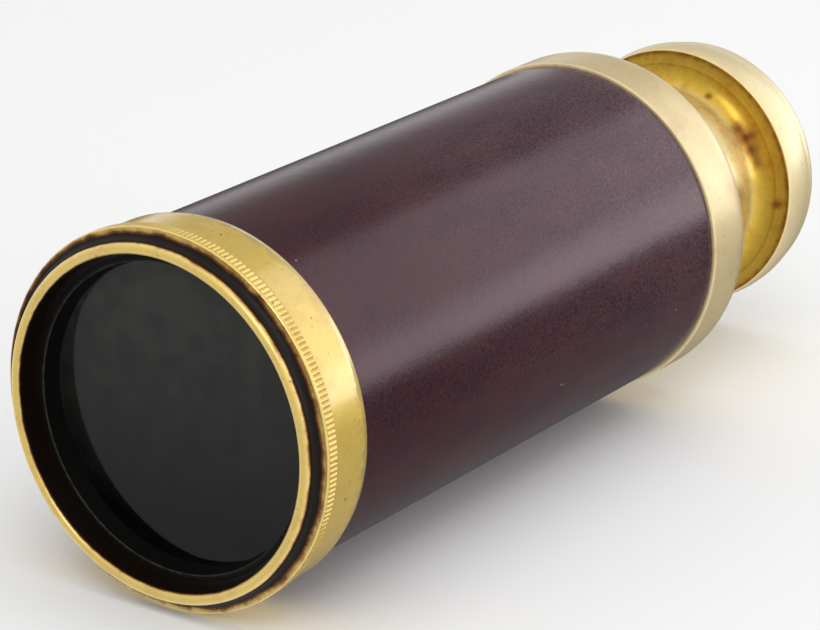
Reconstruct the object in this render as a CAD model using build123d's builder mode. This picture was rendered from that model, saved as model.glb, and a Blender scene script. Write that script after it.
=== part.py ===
from build123d import *
import math
import os

# Kaleidoscope in a brass spyglass body, lying on its side.
# The axis of the tube runs along Y: the object end faces -Y with its lip at y = 0,
# and the eye end faces +Y. Radii are measured from the axis, all sizes are in millimetres.

# ---- Driving dimensions -------------------------------------------------------------

# Barrel: a structural brass tube inside a lacquered sleeve
barrel_radius = 22.25
sleeve_wall = 0.5
tube_wall = 0.75
barrel_length = 78.72  # lacquered length between the two collars

# Front collar, fixed to the barrel
front_collar_length = 6.53
front_collar_proud = 0.95  # how far it stands out from the sleeve
front_collar_chamfer_length = 1.08
front_collar_chamfer_drop = 0.34
front_collar_edge = 0.15
land_length = 2.25  # bearing land that the cell turns in

# Rear collar, fixed to the barrel
rear_collar_length = 9.6
rear_collar_proud = 0.48
rear_collar_straight = 6.0
rear_collar_dome_drop = 1.53
rear_wall = 2.5

# Object cell: the knurled ring that the fingers turn
head_length = 3.85
recess_depth = 2.9
recess_step = 0.7  # from the cell's bore out to the recess
lip_width = 1.4
lip_length = 0.85
cove_depth = 1.09
cove_outer_drop = 0.16
edge_round = 0.32
knurl_proud = 0.4  # beyond the front collar
head_back_chamfer = 0.15
cell_wall = 0.7
tail_gap = 0.4  # radial, between the cell's tail and the barrel tube
journal_step = 0.3  # from the tail out to the journal
seat_lip_width = 1.3
seat_lip_length = 1.0
thrust_ring_length = 1.0

# What the cell holds
retaining_front_wall = 0.8
retaining_back_wall = 1.2
front_window_depth = 5.35  # from the lip to the face of the glass
front_window_thickness = 2.5
chip_chamber_length = 6.95
spacer_wall = 1.2
rear_window_thickness = 1.5
chip_size = 4.2
chip_thickness = 1.5
chips_per_colour = 3
chip_ring_drop = 3.4  # from the spacer's bore to the centres of the chips

# Mirror system
mirror_thickness = 1.6
mirror_edge_gap = 0.1  # at each long edge, between neighbours
mirror_corner_gap = 0.65  # radial, from the banded corners to the tube
mirror_draw_gap = 1.5  # axial, from the rear plate to the closed draw tube
mirror_plate_thickness = 1.0
eye_hole_radius = 6.0
band_width = 6.0
band_thickness = 0.5
band_inset = 14.0  # from each end of the mirrors
packing_length = 9.0
packing_inset = 3.0

# Draw tube and eyepiece
draw_radius = 12.9
draw_wall = 0.8
draw_travel = 10.0
draw_stop_length = 1.8
draw_stop_proud = 2.1
draw_seat_length = 7.4  # screwed length inside the eyepiece
bush_length = 8.0
bush_wall = 2.4
bush_flange_proud = 1.2
bush_flange_length = 1.5
felt_width = 2.0
felt_depth = 0.8
neck_wall = 0.9
neck_length = 14.0  # straight stretch, from the shoulder to the cove
cove_radius = 3.3
cove_turn = 78.0  # degrees
flange_face_width = 1.65
flange_face_slope = 0.85
flange_edge_step = 0.18
flange_belly_rise = 0.28
flange_back_drop = 0.34
flange_rim_drop = 1.94
flange_belly_length = 2.4
flange_side_length = 6.1
flange_length = 8.4
lens_wall = 1.4  # from the lens's bore out to the neck
eye_recess_step = 0.4  # from the lens's bore out to the recess
eye_recess_length = 2.3
dish_rim_width = 0.7
dish_depth = 4.0
lens_shoulder_width = 1.6
lens_shoulder_length = 1.2
lens_edge = 1.4
lens_bulge = 1.3
lens_ring_length = 2.5
eye_stop_thickness = 1.3
eye_stop_hole_radius = 5.0
eye_stop_hole_flare = 0.7

# ---- Fits ---------------------------------------------------------------------------
running_fit = 0.04  # radial, the cell's journal in the collar's land
sliding_fit = 0.03  # radial, the draw tube in its bush
seat_gap = 0.03  # radial, a piece set into a bore of its own body
face_gap = 0.2  # axial, between pieces that turn or slide past each other
head_gap = 0.1  # axial, between the knurled ring and the front collar
end_gap = 0.3  # axial, left at each end of the draw
loose_gap = 0.3  # radial, round a part that passes through without bearing

# ---- Stations along the axis --------------------------------------------------------
tube_outer_radius = barrel_radius - sleeve_wall
tube_inner_radius = tube_outer_radius - tube_wall
front_collar_radius = barrel_radius + front_collar_proud
rear_collar_radius = barrel_radius + rear_collar_proud

front_collar_front = head_length + head_gap
front_collar_back = front_collar_front + front_collar_length
sleeve_front = front_collar_back
sleeve_back = sleeve_front + barrel_length
rear_collar_back = sleeve_back + rear_collar_length
rear_wall_front = rear_collar_back - rear_wall

land_back = front_collar_front + land_length
thrust_ring_front = land_back + face_gap
thrust_ring_back = thrust_ring_front + thrust_ring_length
tube_front = thrust_ring_back + face_gap
tube_back = rear_wall_front

tail_radius = tube_inner_radius - tail_gap
journal_radius = tail_radius + journal_step
cell_bore_radius = tail_radius - cell_wall
recess_radius = cell_bore_radius + recess_step
knurl_radius = front_collar_radius + knurl_proud
front_window_back = front_window_depth + front_window_thickness
chamber_back = front_window_back + chip_chamber_length
rear_window_back = chamber_back + rear_window_thickness
tail_back = rear_window_back + seat_lip_length

bush_front = rear_collar_back - bush_length
draw_stop_back = bush_front - draw_travel - end_gap
draw_front = draw_stop_back - draw_stop_length

front_plate_front = tail_back + 2 * face_gap
mirror_front = front_plate_front + mirror_plate_thickness
rear_plate_back = draw_front - mirror_draw_gap
mirror_back = rear_plate_back - mirror_plate_thickness
mirror_length = mirror_back - mirror_front

neck_radius = draw_radius + neck_wall
lens_bore_radius = neck_radius - lens_wall
lens_shoulder_radius = lens_bore_radius - lens_shoulder_width
eye_recess_radius = lens_bore_radius + eye_recess_step
shoulder = rear_collar_back + end_gap
draw_back = shoulder + draw_seat_length
lens_seat = draw_back + lens_shoulder_length
lens_back = lens_seat + lens_edge
lens_ring_back = lens_back + lens_ring_length
cove_start = shoulder + neck_length
cove_end = cove_start + cove_radius * math.sin(math.radians(cove_turn))
cove_end_radius = neck_radius + cove_radius * (1 - math.cos(math.radians(cove_turn)))
flange_face_radius = cove_end_radius + flange_face_width
flange_edge_radius = flange_face_radius + flange_edge_step
flange_front = cove_end + flange_face_slope
flange_back = flange_front + flange_length
dish_bottom = flange_back - dish_depth
eye_recess_bottom = dish_bottom - eye_recess_length
eye_stop_back = eye_recess_bottom - face_gap
eye_stop_front = eye_stop_back - eye_stop_thickness

bush_radius = draw_radius + bush_wall

# The mirror prism is the largest whose outer corners, with the bands on, clear the tube.
# For an inradius d a corner lies at (sqrt(3) d - edge gap, d + thickness) from the axis.
prism_radius = tube_inner_radius - mirror_corner_gap - band_thickness
half_linear = mirror_thickness - math.sqrt(3) * mirror_edge_gap
constant = mirror_thickness**2 + mirror_edge_gap**2 - prism_radius**2
mirror_inradius = (math.sqrt(half_linear**2 - 4 * constant) - half_linear) / 4
mirror_width = 2 * (math.sqrt(3) * mirror_inradius - mirror_edge_gap)
mirror_back_distance = mirror_inradius + mirror_thickness


def turned_ring(outer_radius, inner_radius, front, back, mode=Mode.ADD):
    """Revolve a plain ring, or a disc when the inner radius is zero, about the tube's axis."""
    with BuildSketch(Plane.XY) as section:
        with Locations((inner_radius, front)):
            Rectangle(outer_radius - inner_radius, back - front, align=(Align.MIN, Align.MIN))
    revolve(section.sketch, axis=Axis.Y, mode=mode)


def cross_section(station):
    """Give the plane across the tube at a station, facing the eye end, with Z up as its local y."""
    return Plane(origin=(0, station, 0), x_dir=(-1, 0, 0), z_dir=(0, 1, 0))


def save(part, name):
    """Label a finished piece and write it to its own file."""
    part.label = name
    export_step(part, f"parts/{name}.step")


os.makedirs("parts", exist_ok=True)

# ---- Barrel -------------------------------------------------------------------------

with BuildPart() as barrel_tube:
    turned_ring(tube_outer_radius, tube_inner_radius, tube_front, tube_back)

with BuildPart() as barrel_sleeve:
    turned_ring(barrel_radius, tube_outer_radius + seat_gap, sleeve_front, sleeve_back)

# Front collar: the land at its front carries the cell, the wider bore behind seats on the tube.
with BuildPart() as front_collar:
    with BuildSketch(Plane.XY):
        with BuildLine():
            Polyline(
                (journal_radius + running_fit, front_collar_front),
                (front_collar_radius - front_collar_edge, front_collar_front),
                (front_collar_radius, front_collar_front + front_collar_edge),
                (front_collar_radius, front_collar_back - front_collar_chamfer_length),
                (front_collar_radius - front_collar_chamfer_drop, front_collar_back),
                (tube_outer_radius + seat_gap, front_collar_back),
                (tube_outer_radius + seat_gap, land_back),
                (journal_radius + running_fit, land_back),
                close=True,
            )
        make_face()
    revolve(axis=Axis.Y)

# Rear collar: a band over the end of the tube, domed towards its flat end wall.
with BuildPart() as rear_collar:
    dome_start = Vector(rear_collar_radius, sleeve_back + rear_collar_straight)
    dome_end = Vector(rear_collar_radius - rear_collar_dome_drop, rear_collar_back)
    with BuildSketch(Plane.XY):
        with BuildLine():
            Polyline(
                dome_end,
                (bush_radius + seat_gap, rear_collar_back),
                (bush_radius + seat_gap, rear_wall_front),
                (tube_outer_radius + seat_gap, rear_wall_front),
                (tube_outer_radius + seat_gap, sleeve_back),
                (rear_collar_radius, sleeve_back),
                dome_start,
            )
            TangentArc(dome_start, dome_end, tangent=(0, 1))
        make_face()
    revolve(axis=Axis.Y)

# ---- Object cell --------------------------------------------------------------------

# Knurled ring with a rounded lip, a cove behind it, a rounded edge, and its tail tube.
lip_radius = recess_radius + lip_width
cove_edge = lip_length + cove_depth
cove_edge_radius = knurl_radius - cove_outer_drop
with BuildPart() as cell_ring:
    with BuildSketch(Plane.XY):
        with BuildLine():
            ThreePointArc(
                (recess_radius, lip_width / 2),
                (recess_radius + lip_width / 2, 0),
                (lip_radius, lip_width / 2),
            )
            Line((lip_radius, lip_width / 2), (lip_radius, lip_length))
            ThreePointArc(
                (lip_radius, lip_length),
                (lip_radius + 0.3 * (cove_edge_radius - lip_radius), lip_length + 0.8 * cove_depth),
                (cove_edge_radius, cove_edge),
            )
            Polyline(
                (cove_edge_radius, cove_edge),
                (knurl_radius, cove_edge + edge_round),
                (knurl_radius, head_length - head_back_chamfer),
                (knurl_radius - head_back_chamfer, head_length),
                (journal_radius, head_length),
                (journal_radius, land_back),
                (tail_radius, land_back + face_gap / 2),
                (tail_radius, tail_back),
                (cell_bore_radius - seat_lip_width, tail_back),
                (cell_bore_radius - seat_lip_width, rear_window_back),
                (cell_bore_radius, rear_window_back),
                (cell_bore_radius, recess_depth),
                (recess_radius, recess_depth),
                (recess_radius, lip_width / 2),
            )
        make_face()
    revolve(axis=Axis.Y)

with BuildPart() as thrust_ring:
    turned_ring(
        tube_outer_radius - loose_gap / 2, tail_radius + seat_gap, thrust_ring_front, thrust_ring_back
    )

# Black threaded ring that holds the front window, its bore narrowing towards the glass.
with BuildPart() as retaining_ring:
    with BuildSketch(Plane.XY):
        with BuildLine():
            Polyline(
                (cell_bore_radius - retaining_front_wall, recess_depth),
                (cell_bore_radius - seat_gap, recess_depth),
                (cell_bore_radius - seat_gap, front_window_depth),
                (cell_bore_radius - retaining_back_wall, front_window_depth),
                close=True,
            )
        make_face()
    revolve(axis=Axis.Y)

with BuildPart() as front_window:
    turned_ring(cell_bore_radius - seat_gap, 0, front_window_depth, front_window_back)

spacer_radius = cell_bore_radius - seat_gap
chamber_radius = spacer_radius - spacer_wall
with BuildPart() as chip_spacer:
    turned_ring(spacer_radius, chamber_radius, front_window_back, chamber_back)

with BuildPart() as rear_window:
    turned_ring(cell_bore_radius - seat_gap, 0, chamber_back, rear_window_back)

# Loose glass chips, lying round the bottom of the chamber in two rows.
# Each colour has its own number of sides; neighbours in a row are of different colours.
chip_colours = {"red": 3, "amber": 4, "green": 5, "blue": 6}
chip_row_radius = chamber_radius - chip_ring_drop
chip_pitch = math.degrees((chip_size + 0.8) / chip_row_radius)
chip_count = len(chip_colours) * chips_per_colour
chips = {}
for index, (colour, sides) in enumerate(chip_colours.items()):
    with BuildPart() as chips[colour]:
        for turn in range(chips_per_colour):
            place = index + turn * len(chip_colours)
            row = place % 2
            angle = math.radians(-90 + (place // 2 - (chip_count / 2 - 1) / 2) * chip_pitch)
            station = front_window_back + chip_thickness * (0.4 + 1.3 * row)
            with BuildSketch(cross_section(station)):
                with Locations(
                    (chip_row_radius * math.cos(angle), chip_row_radius * math.sin(angle))
                ):
                    RegularPolygon(chip_size / 2, sides, rotation=37 * place)
            extrude(amount=chip_thickness)

# ---- Mirrors ------------------------------------------------------------------------

# Three identical strips stand as the sides of an equilateral prism round the axis.
mirrors = []
for side in range(3):
    with BuildPart() as mirror:
        with BuildSketch(cross_section(mirror_front)):
            with PolarLocations(0, 1, start_angle=90 + 120 * side):
                with Locations((mirror_inradius + mirror_thickness / 2, 0)):
                    Rectangle(mirror_thickness, mirror_width)
        extrude(amount=mirror_length)
    mirrors.append(mirror)

# Outline of the mirror prism: the outer corners of the three strips.
prism_corners = []
for side in range(3):
    for end in (-1, 1):
        facing = math.radians(90 + 120 * side)
        along = end * mirror_width / 2
        prism_corners.append(
            (
                mirror_back_distance * math.cos(facing) - along * math.sin(facing),
                mirror_back_distance * math.sin(facing) + along * math.cos(facing),
            )
        )

with BuildPart() as mirror_bands:
    for station in (mirror_front + band_inset, mirror_back - band_inset - band_width):
        with BuildSketch(cross_section(station)):
            with BuildLine():
                Polyline(*prism_corners, close=True)
            make_face()
            offset(amount=band_thickness, kind=Kind.ARC)
            with BuildLine():
                Polyline(*prism_corners, close=True)
            make_face(mode=Mode.SUBTRACT)
        extrude(amount=band_width)

# Card plates across the tube at both ends of the mirrors.
plate_radius = tube_inner_radius - seat_gap
with BuildPart() as front_mirror_plate:
    turned_ring(plate_radius, 0, front_plate_front, mirror_front)
    with BuildSketch(cross_section(front_plate_front)):
        RegularPolygon(mirror_inradius, 3, major_radius=False, rotation=-90)
    extrude(amount=mirror_plate_thickness, mode=Mode.SUBTRACT)

with BuildPart() as rear_mirror_plate:
    turned_ring(plate_radius, eye_hole_radius, mirror_back, rear_plate_back)

# Felt pads fill the space between each mirror's back and the tube, near both ends.
packing_start = {
    "front_packing": mirror_front + packing_inset,
    "rear_packing": mirror_back - packing_inset - packing_length,
}
packings = {}
for name, station in packing_start.items():
    with BuildPart() as packings[name]:
        with BuildSketch(cross_section(station)):
            for side in range(3):
                with PolarLocations(0, 1, start_angle=90 + 120 * side):
                    with Locations((mirror_back_distance + seat_gap, 0)):
                        Rectangle(
                            plate_radius, 0.8 * mirror_width, align=(Align.MIN, Align.CENTER)
                        )
            Circle(plate_radius, mode=Mode.INTERSECT)
        extrude(amount=packing_length)

# ---- Draw tube and eyepiece ---------------------------------------------------------

# Guide bush: screwed through the rear collar's wall, with a flange inside and a felt groove.
felt_front = bush_front + (bush_length - felt_width) / 2
bush_bore = draw_radius + sliding_fit
with BuildPart() as draw_bush:
    turned_ring(bush_radius, bush_bore, bush_front, rear_collar_back)
    turned_ring(
        bush_radius + bush_flange_proud, bush_bore, rear_wall_front - bush_flange_length, rear_wall_front
    )
    turned_ring(
        bush_bore + felt_depth, bush_bore, felt_front, felt_front + felt_width, mode=Mode.SUBTRACT
    )

with BuildPart() as draw_felt:
    turned_ring(bush_bore + felt_depth - seat_gap, bush_bore, felt_front, felt_front + felt_width)

with BuildPart() as draw_tube:
    turned_ring(draw_radius, draw_radius - draw_wall, draw_front, draw_back)

with BuildPart() as draw_stop_ring:
    turned_ring(draw_radius + draw_stop_proud, draw_radius + seat_gap, draw_front, draw_stop_back)

# Eyepiece body: straight neck, cove, and a bellied flange with a dished eye end.
with BuildPart() as eyepiece_body:
    cove_point = Vector(cove_end_radius, cove_end)
    half_turn = math.radians(cove_turn / 2)
    cove_middle = Vector(
        neck_radius + cove_radius * (1 - math.cos(half_turn)),
        cove_start + cove_radius * math.sin(half_turn),
    )
    face_edge = Vector(flange_face_radius, flange_front - (flange_edge_radius - flange_face_radius))
    edge = Vector(flange_edge_radius, flange_front)
    belly = edge + Vector(flange_belly_rise, flange_belly_length)
    side_end = edge + Vector(-flange_back_drop, flange_side_length)
    rim = edge + Vector(-flange_rim_drop, flange_length)
    dish_rim = rim - Vector(dish_rim_width, 0)
    dish_end = Vector(eye_recess_radius, dish_bottom)
    with BuildSketch(Plane.XY):
        with BuildLine():
            Line((neck_radius, shoulder), (neck_radius, cove_start))
            ThreePointArc((neck_radius, cove_start), cove_middle, cove_point)
            Polyline(cove_point, face_edge, edge)
            side_arc = ThreePointArc(edge, belly, side_end)
            TangentArc(side_end, rim, tangent=side_arc % 1)
            Line(rim, dish_rim)
            TangentArc(dish_rim, dish_end, tangent=(-1, -0.35))
            Polyline(
                dish_end,
                (eye_recess_radius, eye_recess_bottom),
                (lens_bore_radius, eye_recess_bottom),
                (lens_bore_radius, lens_seat),
                (lens_shoulder_radius, lens_seat),
                (lens_shoulder_radius, draw_back),
                (draw_radius + seat_gap, draw_back),
                (draw_radius + seat_gap, shoulder),
                (neck_radius, shoulder),
            )
        make_face()
    revolve(axis=Axis.Y)

# Magnifying eye lens: convex on both sides inside a flat rim that seats on the shoulder.
lens_clear_radius = lens_shoulder_radius - loose_gap
lens_radius = lens_bore_radius - seat_gap
with BuildPart() as eye_lens:
    with BuildSketch(Plane.XY):
        with BuildLine():
            TangentArc(
                (0, lens_seat - lens_bulge), (lens_clear_radius, lens_seat), tangent=(1, 0)
            )
            Polyline(
                (lens_clear_radius, lens_seat),
                (lens_radius, lens_seat),
                (lens_radius, lens_back),
                (lens_clear_radius, lens_back),
            )
            TangentArc(
                (0, lens_back + lens_bulge), (lens_clear_radius, lens_back), tangent=(1, 0)
            )
            Line((0, lens_back + lens_bulge), (0, lens_seat - lens_bulge))
        make_face()
    revolve(axis=Axis.Y)

with BuildPart() as lens_ring:
    turned_ring(lens_radius, lens_shoulder_radius, lens_back, lens_ring_back)

# Eye stop: a black disc with a flared eye hole.
with BuildPart() as eye_stop:
    with BuildSketch(Plane.XY):
        with BuildLine():
            Polyline(
                (eye_stop_hole_radius, eye_stop_front),
                (lens_radius, eye_stop_front),
                (lens_radius, eye_stop_back),
                (eye_stop_hole_radius + eye_stop_hole_flare, eye_stop_back),
                close=True,
            )
        make_face()
    revolve(axis=Axis.Y)

# ---- Pieces -------------------------------------------------------------------------
pieces = {
    "barrel_tube": barrel_tube,
    "barrel_sleeve": barrel_sleeve,
    "front_collar": front_collar,
    "rear_collar": rear_collar,
    "cell_ring": cell_ring,
    "thrust_ring": thrust_ring,
    "retaining_ring": retaining_ring,
    "front_window": front_window,
    "chip_spacer": chip_spacer,
    "rear_window": rear_window,
    "mirror_bands": mirror_bands,
    "front_mirror_plate": front_mirror_plate,
    "rear_mirror_plate": rear_mirror_plate,
    "draw_bush": draw_bush,
    "draw_felt": draw_felt,
    "draw_tube": draw_tube,
    "draw_stop_ring": draw_stop_ring,
    "eyepiece_body": eyepiece_body,
    "eye_lens": eye_lens,
    "lens_ring": lens_ring,
    "eye_stop": eye_stop,
}
for number, mirror in enumerate(mirrors, start=1):
    pieces[f"mirror_{number}"] = mirror
for colour, group in chips.items():
    pieces[f"glass_chips_{colour}"] = group
pieces.update(packings)

for name, piece in pieces.items():
    save(piece.part, name)
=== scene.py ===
"""Visual model of a kaleidoscope in a brass spyglass body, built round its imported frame.

The tube lies on its side with its axis along Y: the object end faces -Y with its lip at y = 0,
the eye end faces +Y. Every turned piece is one surface, a profile in the half plane through the
axis carried once round it. Sizes are in metres.
"""

import logging
import math
from dataclasses import dataclass, replace
from enum import Enum

import bmesh
import bpy
import numpy as np
from mathutils import Matrix, Vector

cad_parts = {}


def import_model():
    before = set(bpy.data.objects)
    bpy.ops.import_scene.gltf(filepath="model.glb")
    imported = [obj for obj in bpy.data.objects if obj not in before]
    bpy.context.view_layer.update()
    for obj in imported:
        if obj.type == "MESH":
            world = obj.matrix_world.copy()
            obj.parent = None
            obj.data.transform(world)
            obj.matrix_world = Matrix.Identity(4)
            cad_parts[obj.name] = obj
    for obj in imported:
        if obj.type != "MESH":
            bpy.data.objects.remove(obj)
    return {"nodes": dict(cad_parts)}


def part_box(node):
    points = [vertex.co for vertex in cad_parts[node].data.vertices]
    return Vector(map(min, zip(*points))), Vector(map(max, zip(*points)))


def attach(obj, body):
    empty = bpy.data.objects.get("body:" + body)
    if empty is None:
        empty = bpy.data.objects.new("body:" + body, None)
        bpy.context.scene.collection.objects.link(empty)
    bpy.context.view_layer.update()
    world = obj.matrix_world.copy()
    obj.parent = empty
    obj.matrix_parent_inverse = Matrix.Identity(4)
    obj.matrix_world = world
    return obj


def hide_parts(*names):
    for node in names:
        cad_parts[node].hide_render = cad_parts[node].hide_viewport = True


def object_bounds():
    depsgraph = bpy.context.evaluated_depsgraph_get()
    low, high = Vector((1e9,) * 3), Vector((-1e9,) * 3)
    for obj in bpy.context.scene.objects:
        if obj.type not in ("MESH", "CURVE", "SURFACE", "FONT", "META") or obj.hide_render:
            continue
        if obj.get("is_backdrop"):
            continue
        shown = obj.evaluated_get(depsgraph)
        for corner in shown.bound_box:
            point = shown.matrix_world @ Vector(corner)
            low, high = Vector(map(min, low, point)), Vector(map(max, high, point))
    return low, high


log = logging.getLogger("kaleidoscope")

Socket = bpy.types.NodeSocket
Material = bpy.types.Material
Colour = tuple[float, float, float]
Point = tuple[float, float]
Place = tuple[float, float, float]
Tones = tuple[float, ...]

MM = 0.001
WELD_DISTANCE = 1e-7
TONE = "tone"  # vertex attribute: how far a finish has gone over to its second state
LENGTH_MAP = "turning"  # UV map: u round the axis, v the length along the profile in millimetres


class Round(Enum):
    """How many steps a turned surface takes round the axis."""

    SMOOTH = 384
    KNURLED = 1356


class Close(Enum):
    """How a profile closes: back to its first point, or with both ends on the axis."""

    LOOP = "loop"
    POLES = "poles"


# ---- Profiles -----------------------------------------------------------------------


class Outline:
    """A profile drawn with a pen in the half plane through the axis.

    Each step starts where the last one ended, and its own end is the next step's first point. A row
    holds a point's radius, its station along the axis and its finish tone. The tones of a step stand
    at even shares of it and are blended between.
    """

    def __init__(self, radius: float, station: float) -> None:
        """Put the pen down on the first point."""
        self.pen: Point = (radius, station)
        self.rows: list[np.ndarray] = []

    def draw(
        self, radius: np.ndarray, station: np.ndarray, end: Point, tone: Tones = (0.0,)
    ) -> "Outline":
        """Add worked out points and move the pen.

        Args:
            radius: Radii of the points.
            station: Stations of the points.
            end: Where the step ends, which is not among the points.
            tone: Tones along the step.

        Returns:
            The outline itself.
        """
        share = np.arange(len(radius)) / len(radius)
        tones = np.interp(share, np.linspace(0, 1, len(tone)), tone)
        self.rows.append(np.stack([radius, station, tones], axis=1))
        self.pen = end
        return self

    def to(
        self,
        radius: float | None = None,
        station: float | None = None,
        steps: int = 1,
        tone: Tones = (0.0,),
    ) -> "Outline":
        """Run straight to a point, in even steps.

        Args:
            radius: The point's radius, or None to keep the pen's.
            station: The point's station, or None to keep the pen's.
            steps: Number of points.
            tone: Tones along the step.

        Returns:
            The outline itself.
        """
        start = self.pen
        end = (start[0] if radius is None else radius, start[1] if station is None else station)
        share = np.arange(steps) / steps
        radii, stations = (a + (b - a) * share for a, b in zip(start, end))
        return self.draw(radii, stations, end, tone)

    def arc(self, size: Point, turn: Point, steps: int, tone: Tones = (0.0,)) -> "Outline":
        """Follow an ellipse: centre + size * (cos a, sin a), with the pen on it at the first a.

        Args:
            size: Half axes along the radius and along the station.
            turn: Start and end of the angle a, in degrees.
            steps: Number of points.
            tone: Tones along the step.

        Returns:
            The outline itself.
        """
        angle = np.radians(turn[0] + (turn[1] - turn[0]) * np.arange(steps + 1) / steps)
        radius = self.pen[0] + size[0] * (np.cos(angle) - np.cos(angle[0]))
        station = self.pen[1] + size[1] * (np.sin(angle) - np.sin(angle[0]))
        return self.draw(radius[:-1], station[:-1], (radius[-1], station[-1]), tone)

    def bow(self, middle: Point, end: Point, steps: int, tone: Tones = (0.0,)) -> "Outline":
        """Follow the circle through the pen and two more points.

        Its centre is where the perpendicular bisectors of the two chords cross.

        Args:
            middle: A point that the arc passes through.
            end: Where the arc runs to.
            steps: Number of points.
            tone: Tones along the step.

        Returns:
            The outline itself.
        """
        a, b, c = (np.array(p, float) for p in (self.pen, middle, end))
        sides = 2 * np.array([b - a, c - b])
        centre = np.linalg.solve(sides, np.array([b @ b - a @ a, c @ c - b @ b]))
        size = float(np.linalg.norm(a - centre))
        first, through, last = (math.atan2(*(p - centre)[::-1]) for p in (a, b, c))
        through = first + math.remainder(through - first, 2 * math.pi)
        last = through + math.remainder(last - through, 2 * math.pi)
        self.arc((size, size), (math.degrees(first), math.degrees(last)), steps, tone)
        self.pen = end
        return self

    def sag(self, end: Point, steps: int, power: float) -> "Outline":
        """Fall slowly at first and steeply at the end.

        Over a quarter turn a, the radius goes as cos a and the station as (1 - cos a) ^ power.

        Args:
            end: Where the curve runs to.
            steps: Number of points.
            power: The power, less for a rounder start.

        Returns:
            The outline itself.
        """
        fall = 1 - np.cos(np.radians(90 * np.arange(steps) / steps))
        radius, station = self.pen
        radii = end[0] + (radius - end[0]) * (1 - fall)
        return self.draw(radii, station - (station - end[1]) * fall**power, end)

    def points(self, close: Close) -> np.ndarray:
        """All points, with the pen's own place as the last one where the profile ends on the axis."""
        last = [[[*self.pen, 0.0]]] if close is Close.POLES else []
        return np.concatenate([*self.rows, *last])


# ---- Turned surfaces ----------------------------------------------------------------


@dataclass
class Turned:
    """A surface of revolution: radius(s) and station(s) carried round the Y axis.

    A point is (r sin t, y, r cos t) for the angle t round the axis and the step s along the
    profile. A relief may sink the radius as a function of t and y.
    """

    name: str
    outline: Outline
    close: Close = Close.LOOP
    steps: Round = Round.SMOOTH
    relief: "Knurl | None" = None
    sharp_angle: float = 32.0

    def __post_init__(self) -> None:
        """Work out the profile's points."""
        self.profile = self.outline.points(self.close)

    def points(self) -> np.ndarray:
        """Positions on the grid.

        Returns:
            An array of turns by profile points by three.
        """
        turns = self.steps.value
        angle = 2 * math.pi * np.arange(turns)[:, None] / turns
        radius = np.broadcast_to(self.profile[:, 0], (turns, len(self.profile)))
        station = np.broadcast_to(self.profile[:, 1], radius.shape)
        if self.relief is not None:
            radius = radius - self.relief.depth_at(angle, station, radius)
        return np.stack([radius * np.sin(angle), station, radius * np.cos(angle)], axis=2)

    def faces(self) -> np.ndarray:
        """Corner indices of the grid's faces, wound by the profile's area so they point outwards.

        Returns:
            The indices, four to a face.
        """
        turns, count = self.steps.value, len(self.profile)
        across = count if self.close is Close.LOOP else count - 1
        turn = np.arange(turns)[:, None]
        step = np.arange(across)[None, :]
        here, there = turn * count, (turn + 1) % turns * count
        after = (step + 1) % count
        quads = np.stack([here + step, there + step, there + after, here + after], axis=2)
        quads = quads.reshape(-1, 4)
        radius, station = self.profile[:, 0], self.profile[:, 1]
        area = np.sum(radius * np.roll(station, -1) - np.roll(radius, -1) * station)
        return quads if area > 0 else quads[:, ::-1]

    def build(self) -> bpy.types.Object:
        """Make the mesh object, with its tone attribute and its map of profile lengths.

        Returns:
            The object, at the origin, with its place in its mesh.
        """
        points = self.points()
        turns, count = points.shape[:2]
        faces = self.faces()
        mesh = bpy.data.meshes.new(self.name)
        mesh.vertices.add(turns * count)
        mesh.vertices.foreach_set("co", points.ravel())
        mesh.loops.add(faces.size)
        mesh.loops.foreach_set("vertex_index", faces.ravel())
        mesh.polygons.add(len(faces))
        mesh.polygons.foreach_set("loop_start", np.arange(0, faces.size, 4))
        mesh.update(calc_edges=True)

        tone = mesh.attributes.new(TONE, "FLOAT", "POINT")
        tone.data.foreach_set("value", np.tile(self.profile[:, 2], turns))

        step_length = np.linalg.norm(np.diff(self.profile[:, :2], axis=0), axis=1)
        along = np.concatenate([[0.0], np.cumsum(step_length)]) / MM
        end_length = along[-1] + np.linalg.norm(self.profile[0, :2] - self.profile[-1, :2]) / MM
        turn, step = faces // count, faces % count
        around = turn / turns
        around = np.where((turn == 0) & (turn.max(axis=1, keepdims=True) == turns - 1), 1.0, around)
        wrapped = (step == 0) & (step.max(axis=1, keepdims=True) == count - 1)
        length = np.where(wrapped & (self.close is Close.LOOP), end_length, along[step])
        uv = mesh.uv_layers.new(name=LENGTH_MAP)
        uv.data.foreach_set("uv", np.stack([around, length], axis=2).astype(np.float32).ravel())

        mesh.polygons.foreach_set("use_smooth", np.ones(len(faces), bool))
        piece = bpy.data.objects.new(self.name, mesh)
        bpy.context.scene.collection.objects.link(piece)
        if self.close is Close.POLES:
            weld_poles(mesh)
        mesh.set_sharp_from_angle(angle=math.radians(self.sharp_angle))
        return piece


def weld_poles(mesh: bpy.types.Mesh) -> None:
    """Merge the rings that lie on the axis into single points.

    Args:
        mesh: A turned mesh whose profile starts and ends at radius zero.
    """
    work = bmesh.new()
    work.from_mesh(mesh)
    on_axis = [v for v in work.verts if math.hypot(v.co.x, v.co.z) < WELD_DISTANCE]
    bmesh.ops.remove_doubles(work, verts=on_axis, dist=WELD_DISTANCE)
    work.to_mesh(mesh)
    work.free()


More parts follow.
